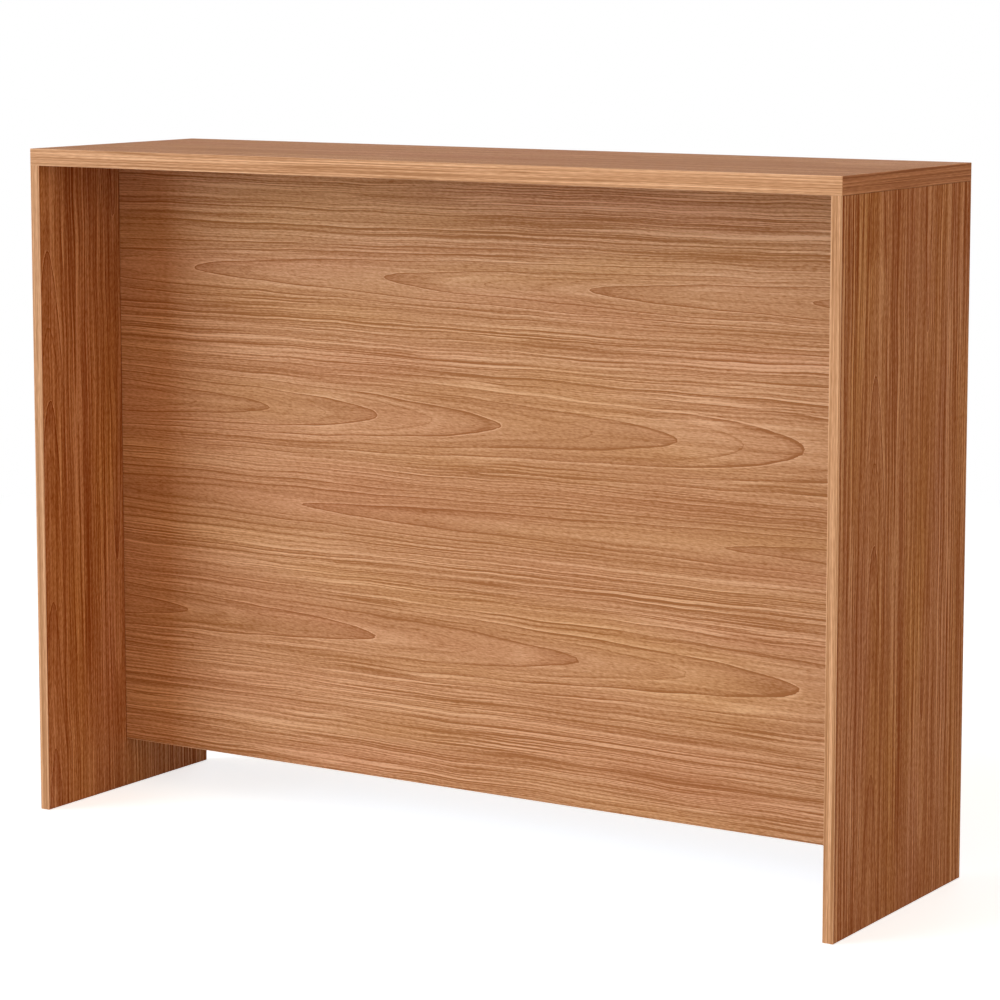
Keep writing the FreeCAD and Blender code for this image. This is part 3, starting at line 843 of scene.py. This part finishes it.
@dataclass(frozen=True)
class CastZincFinish:
    """Die-cast zinc of the cam locks: satin on the face, with painted shade darkening the
    recesses.
    """

    face: Colour
    # recess: the colour of the painted shade in the cam's recesses
    recess_shade: Colour
    recess_shade_from: float = 0.02 * MM
    recess_shade_to: float = 1.2 * MM
    recess_shade_share: float = 0.8
    roughness: float = 0.38
    recess_gloss: float = 0.15
    grain: Speckle = Speckle(1500.0, detail=3.0, roughness=0.6)
    grain_gloss: float = 0.12
    smear: Speckle = Speckle(260.0)
    smear_share: float = 0.5
    smear_gloss: float = 0.25
    relief: float = 0.03 * MM

    def build(self, name: str, outward: Axis, face_at: float, sign: float) -> bpy.types.Material:
        """The material of cams that face one way.

        Args:
            name: The material's name.
            outward: The axis that the cam's face looks along.
            face_at: Where that face lies.
            sign: 1 where the face looks along the axis, -1 where it looks against it.

        Returns:
            The material.
        """
        material, wiring, shader = new_material(name)
        place = wiring.place()
        depth = (face_at - place[outward.value]) * sign
        grain = self.grain.read(wiring, place)
        smear = self.smear.read(wiring, place)
        # painted shade: the colour darkens with depth below the cam's face
        deep_shade = depth.ease(self.recess_shade_from, self.recess_shade_to)
        shade_and_smear = deep_shade * self.recess_shade_share + smear * self.smear_share
        wiring.feed(shader.inputs["Base Color"], wiring.blend(shade_and_smear, self.face, self.recess_shade))
        shader.inputs["Metallic"].default_value = 1.0
        gloss = smear * self.smear_gloss + grain * self.grain_gloss + deep_shade * self.recess_gloss
        wiring.feed(shader.inputs["Roughness"], self.roughness + gloss)
        wiring.feed(shader.inputs["Normal"], wiring.bump(grain, self.relief))
        return material


@dataclass(frozen=True)
class PlatedSteelFinish:
    """Zinc-plated steel of the connecting bolts, with a faint yellow passivation."""

    bright: Colour
    yellow: Colour
    yellow_share: float = 0.4
    roughness: float = 0.3
    cloud: Speckle = Speckle(340.0, detail=3.0)
    cloud_share: float = 2.0
    cloud_gloss: float = 0.3
    grit: Speckle = Speckle(2400.0, detail=1.0)
    grit_gloss: float = 0.1
    relief: float = 0.02 * MM

    def build(self) -> bpy.types.Material:
        """The material."""
        material, wiring, shader = new_material("plated_steel")
        place = wiring.place()
        cloud = self.cloud.read(wiring, place)
        grit = self.grit.read(wiring, place)
        share = cloud * self.cloud_share + self.yellow_share
        wiring.feed(shader.inputs["Base Color"], wiring.blend(share, self.bright, self.yellow))
        shader.inputs["Metallic"].default_value = 1.0
        gloss = cloud * self.cloud_gloss + grit * self.grit_gloss
        wiring.feed(shader.inputs["Roughness"], self.roughness + gloss)
        wiring.feed(shader.inputs["Normal"], wiring.bump(grit, self.relief))
        return material


@dataclass(frozen=True)
class BeechFinish:
    """Bare beech of the dowels, with short brown flecks along the grain."""

    wood: Colour
    line: Colour
    fleck: Colour
    lines: Speckle = Speckle(900.0, detail=3.0, along=30.0)
    line_contrast: float = 2.0
    line_share: float = 0.5
    flecks: Speckle = Speckle(1600.0, detail=1.0, along=380.0)
    fleck_from: float = 0.12
    fleck_to: float = 0.24
    roughness: float = 0.7
    line_gloss: float = 0.2
    relief: float = 0.05 * MM

    def build(self, name: str, grain: Axis) -> bpy.types.Material:
        """The material of dowels that lie along one axis."""
        material, wiring, shader = new_material(name)
        place = wiring.place()
        lines = self.lines.read(wiring, place, grain)
        flecks = self.flecks.read(wiring, place, grain).ease(self.fleck_from, self.fleck_to)
        share = lines * self.line_contrast + self.line_share
        colour = wiring.blend(share, self.wood, self.line)
        wiring.feed(shader.inputs["Base Color"], wiring.blend(flecks, colour, self.fleck))
        wiring.feed(shader.inputs["Roughness"], self.roughness + lines * self.line_gloss)
        wiring.feed(shader.inputs["Normal"], wiring.bump(lines, self.relief))
        return material


@dataclass(frozen=True)
class Board:
    """One decor board: its node, how its grain runs, and the print on its two faces."""

    node: str
    grain: Axis
    across: Axis
    thickness: Axis
    faces: tuple[FaceFigure, FaceFigure]
    figure: Figure
    across_sign: float = 1.0


@dataclass
class Carcass:
    """The four boards. The first face of each is the one on the lower side of its axis. The top
    and side finishes are copies of the middle one darkened with painted shade.
    """

    middle_finish: DecorFinish = DecorFinish(
        dark=paint(157, 104, 63),
        base=paint(191, 142, 103),
        pale=paint(219, 174, 137),
        joint=paint(84, 48, 26),
    )
    # the top: a darker copy of the same decor, with painted shade
    top_finish_shaded: DecorFinish = DecorFinish(
        dark=paint(150, 100, 62),
        base=paint(183, 137, 101),
        pale=paint(210, 168, 134),
        joint=paint(84, 48, 26),
    )
    # the sides: a deeper, redder copy of the same decor, with painted shade for their faces
    # turned to the side
    side_finish_shaded: DecorFinish = DecorFinish(
        dark=paint(143, 76, 30),
        base=paint(184, 126, 80),
        pale=paint(222, 173, 129),
        joint=paint(80, 42, 20),
        rosy=(0.99, 0.98, 1.16, 1.0),
        golden=(1.0, 1.0, 0.74, 1.0),
        tint_share=0.9,
    )
    boards: tuple[Board, ...] = (
        Board(
            "top_panel",
            Axis.WIDTH,
            Axis.DEPTH,
            Axis.HEIGHT,
            (FaceFigure(-220 * MM, -310 * MM), FaceFigure(200 * MM, -545 * MM)),
            CENTRE_FIGURE,
        ),
        Board(
            "left_side_panel",
            Axis.HEIGHT,
            Axis.DEPTH,
            Axis.WIDTH,
            (FaceFigure(-70 * MM, 30 * MM), FaceFigure(112 * MM, 87 * MM)),
            SIDE_FIGURE,
            across_sign=-1.0,
        ),
        Board(
            "right_side_panel",
            Axis.HEIGHT,
            Axis.DEPTH,
            Axis.WIDTH,
            (FaceFigure(-40 * MM, -60 * MM), FaceFigure(0.0, 0.0)),
            SIDE_FIGURE,
            across_sign=-1.0,
        ),
        Board(
            "centre_panel",
            Axis.WIDTH,
            Axis.HEIGHT,
            Axis.DEPTH,
            (FaceFigure(0.0, 0.0), FaceFigure(150 * MM, 40 * MM)),
            CENTRE_FIGURE,
        ),
    )

    def build(self, prints: Prints) -> None:
        """Dresses every board."""
        finishes = {
            Axis.WIDTH: self.side_finish_shaded,
            Axis.DEPTH: self.middle_finish,
            Axis.HEIGHT: self.top_finish_shaded,
        }
        for board in self.boards:
            dress(board.node, finishes[board.thickness].build(board, prints))


@dataclass
class Edging:
    """The edge bands, by the way they run. Those along the front and back are the palest; those
    across the ends are a darker copy, with painted shade.
    """

    long_finish: BandFinish = BandFinish(
        dark=paint(166, 118, 78),
        base=paint(199, 150, 110),
        pale=paint(232, 186, 146),
        arris_highlight=paint(238, 198, 162),
    )
    # the ends: a darker copy of the band, with painted shade
    end_finish_shaded: BandFinish = BandFinish(
        dark=paint(146, 88, 48),
        base=paint(182, 124, 80),
        pale=paint(212, 156, 112),
        arris_highlight=paint(216, 166, 124),
    )

    def runs(self) -> Iterator[tuple[str, Axis, Axis, tuple[str, ...]]]:
        """Each run: its name, its grain, the axis across the band, and its nodes."""
        yield "band_top_long", Axis.WIDTH, Axis.HEIGHT, ("top_front_band", "top_back_band")
        yield "band_top_ends", Axis.DEPTH, Axis.HEIGHT, ("top_left_band", "top_right_band")
        yield "band_centre", Axis.WIDTH, Axis.DEPTH, ("centre_bottom_band",)
        for side in ("left", "right"):
            upright = (f"{side}_side_front_band", f"{side}_side_back_band")
            yield f"band_{side}_upright", Axis.HEIGHT, Axis.WIDTH, upright
            yield f"band_{side}_foot", Axis.DEPTH, Axis.WIDTH, (f"{side}_side_foot_band",)

    def build(self) -> None:
        """Dresses every band."""
        for name, grain, cross, nodes in self.runs():
            finish = self.end_finish_shaded if grain is Axis.DEPTH else self.long_finish
            material = finish.build(name, nodes[0], grain, cross)
            for node in nodes:
                dress(node, material)


@dataclass
class Fittings:
    """Cam locks, connecting bolts and dowels of the joints."""

    zinc: CastZincFinish = CastZincFinish(
        face=paint(196, 196, 192),
        recess_shade=paint(104, 103, 100),
    )
    steel: PlatedSteelFinish = PlatedSteelFinish(
        bright=paint(206, 206, 200),
        yellow=paint(198, 186, 150),
    )
    beech: BeechFinish = BeechFinish(
        wood=paint(222, 188, 145),
        line=paint(204, 164, 118),
        fleck=paint(158, 112, 72),
    )
    levels: tuple[str, ...] = ("low", "mid", "high")
    sides: tuple[str, ...] = ("left", "right")

    def build(self) -> None:
        """Dresses every fitting."""
        self.dress_cams()
        steel = self.steel.build()
        across = self.beech.build("beech_across", Axis.WIDTH)
        upright = self.beech.build("beech_upright", Axis.HEIGHT)
        for side in self.sides:
            dress(f"{side}_joint_bolts", steel)
            dress(f"{side}_corner_bolt", steel)
            dress(f"{side}_joint_dowels", across)
            dress(f"{side}_corner_dowels", upright)
        dress("top_joint_bolts", steel)
        dress("top_joint_dowels", upright)

    def dress_cams(self) -> None:
        """Dresses the cams: those of the centre panel face back, the corner ones inwards."""
        names = [f"{side}_cam_{level}" for side in self.sides for level in self.levels]
        names += [f"top_cam_{place}" for place in ("left", "mid", "right")]
        back = self.zinc.build("cast_zinc_back", Axis.DEPTH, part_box(names[0])[1].y, 1.0)
        for name in names:
            dress(name, back)
        left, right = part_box("left_corner_cam")[1].x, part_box("right_corner_cam")[0].x
        dress("left_corner_cam", self.zinc.build("cast_zinc_left", Axis.WIDTH, left, 1.0))
        dress("right_corner_cam", self.zinc.build("cast_zinc_right", Axis.WIDTH, right, -1.0))


@dataclass(frozen=True)
class Lamp:
    """A soft sun. Azimuth 0 is in front, 90 at the right; the angle is its width in degrees."""

    name: str
    azimuth: float
    elevation: float
    angle: float
    strength: float
    colour: tuple[float, float, float] = (1.0, 1.0, 1.0)
    shines: bool = True

    def build(self) -> None:
        """Adds the lamp to the scene."""
        data = bpy.data.lights.new(self.name, "SUN")
        data.energy = self.strength
        data.angle = math.radians(self.angle)
        data.color = self.colour
        lamp = bpy.data.objects.new(self.name, data)
        turn = math.radians(self.azimuth)
        lamp.rotation_euler = (math.radians(90 - self.elevation), 0.0, turn)
        lamp.visible_glossy = self.shines
        bpy.context.scene.collection.objects.link(lamp)


@dataclass
class Studio:
    """A plain pale floor, a white surround, soft suns and the camera."""

    lamps: tuple[Lamp, ...] = (
        Lamp("key", -45.0, 6.0, angle=42.0, strength=3.08, colour=(0.73, 1.0, 1.19)),
        Lamp("front_fill", 0.0, 10.0, angle=175.0, strength=1.45, colour=(1.62, 1.0, 0.52)),
        Lamp("right_fill", 80.0, 12.0, angle=100.0, strength=0.52, colour=(1.06, 1.04, 1.04)),
        Lamp("back_fill", -165.0, 5.0, angle=50.0, strength=2.25, shines=False),
    )
    ambient: float = 0.02
    floor_radius: float = 14.0
    floor_rings: int = 24
    floor_sides: int = 96
    floor_drop: float = 0.4 * MM
    floor_colour: Colour = (0.71, 0.85, 1.0, 1.0)
    floor_bounce: Colour = (0.72, 0.72, 0.72, 1.0)
    floor_glow: Colour = (0.68, 0.68, 0.68, 1.0)
    floor_mottle: float = 3.0
    floor_roughness: float = 0.8
    mottle_gloss: float = 0.1
    clear_from: float = 1.6
    clear_to: float = 3.5
    camera_at: tuple[float, float, float] = (2.5654, -3.9722, 1.2392)
    camera_pitch: float = 6.941
    camera_yaw: float = 32.536
    lens: float = 119.535
    shift: float = -0.11

    def build(self) -> None:
        """Makes the whole studio."""
        self.make_camera()
        self.make_floor()
        self.make_world()
        for lamp in self.lamps:
            lamp.build()
        bpy.context.scene.view_settings.view_transform = "Standard"

    def make_camera(self) -> None:
        """The camera at the photograph's viewing angle, with depth of field off."""
        data = bpy.data.cameras.new("camera")
        data.lens = self.lens
        data.shift_y = self.shift
        camera = bpy.data.objects.new("camera", data)
        camera.location = self.camera_at
        tilt = math.radians(90 - self.camera_pitch)
        camera.rotation_euler = (tilt, 0.0, math.radians(self.camera_yaw))
        bpy.context.scene.collection.objects.link(camera)
        bpy.context.scene.camera = camera

    def make_floor(self) -> None:
        """A round floor: points on rings, each at radius r and turn t, at (r cos t, r sin t)."""
        radii = np.linspace(0.0, self.floor_radius, self.floor_rings + 1)[1:]
        turns = np.linspace(0.0, 2 * np.pi, self.floor_sides, endpoint=False)
        radius, turn = np.meshgrid(radii, turns, indexing="ij")
        points = np.stack([radius * np.cos(turn), radius * np.sin(turn)], axis=-1).reshape(-1, 2)
        points = np.vstack([[0.0, 0.0], points])
        points = np.column_stack([points, np.full(len(points), -self.floor_drop)])
        number = 1 + np.arange(radius.size).reshape(radius.shape)
        beside = np.roll(number, -1, axis=1)
        fan = np.stack([np.zeros(self.floor_sides, int), number[0], beside[0]], axis=-1)
        quads = np.stack([number[:-1], number[1:], beside[1:], beside[:-1]], axis=-1)
        mesh = bpy.data.meshes.new("floor")
        mesh.from_pydata(points.tolist(), [], fan.tolist() + quads.reshape(-1, 4).tolist())
        mesh.materials.append(self.floor_material())
        floor = bpy.data.objects.new("floor", mesh)
        bpy.context.scene.collection.objects.link(floor)

    def seen(self, wiring: Wiring) -> Signal:
        """1 where the camera, a reflection or a pane looks, and 0 for light that bounces."""
        path = wiring.node("ShaderNodeLightPath")
        camera = Signal(wiring, path.outputs["Is Camera Ray"])
        glossy = Signal(wiring, path.outputs["Is Glossy Ray"])
        through = Signal(wiring, path.outputs["Is Transmission Ray"])
        return camera.apply("MAXIMUM", glossy).apply("MAXIMUM", through)

    def floor_material(self) -> bpy.types.Material:
        """Matt pale floor that glows for seen rays only, and is plain white far away."""
        material, wiring, shader = new_material("floor")
        place = wiring.place()
        mottle = wiring.noise(tuple(value * self.floor_mottle for value in place[:2]))
        seen = self.seen(wiring)
        colour = wiring.blend(seen, self.floor_bounce, self.floor_colour)
        wiring.feed(shader.inputs["Base Color"], colour)
        glow = wiring.blend(seen, BLACK, self.floor_glow)
        wiring.feed(shader.inputs["Emission Color"], glow)
        shader.inputs["Emission Strength"].default_value = 1.0
        gloss = self.floor_roughness + mottle * self.mottle_gloss
        wiring.feed(shader.inputs["Roughness"], gloss)
        shader.inputs["Specular IOR Level"].default_value = 0.0
        away = place[0].hypot(place[1])
        clear = away.ease(self.clear_from, self.clear_to) * seen
        white = wiring.node("ShaderNodeEmission")
        white.inputs["Color"].default_value = WHITE
        mix = wiring.node("ShaderNodeMixShader")
        blended = (clear, shader.outputs["BSDF"], white.outputs["Emission"])
        for socket, value in zip(mix.inputs, blended):
            wiring.feed(socket, value)
        output = next(n for n in wiring.tree.nodes if n.bl_idname == "ShaderNodeOutputMaterial")
        wiring.feed(output.inputs["Surface"], mix.outputs["Shader"])
        return material

    def make_world(self) -> None:
        """A white surround, which lights the object only at the ambient level."""
        world = bpy.data.worlds.new("surround")
        world.use_nodes = True
        world.node_tree.nodes.clear()
        wiring = Wiring(world.node_tree)
        glow = wiring.node("ShaderNodeBackground")
        glow.inputs["Color"].default_value = WHITE
        seen = self.seen(wiring)
        wiring.feed(glow.inputs["Strength"], seen * (1.0 - self.ambient) + self.ambient)
        output = wiring.node("ShaderNodeOutputWorld")
        wiring.feed(output.inputs["Surface"], glow.outputs["Background"])
        bpy.context.scene.world = world


def main() -> None:
    """Builds the studio and dresses the object, one sub-assembly at a time."""
    logging.basicConfig(level=logging.INFO, format="%(name)s: %(message)s")
    Studio().build()
    Carcass().build(Prints((CENTRE_FIGURE, SIDE_FIGURE)))
    Edging().build()
    Fittings().build()


if __name__ == "__main__":
    main()
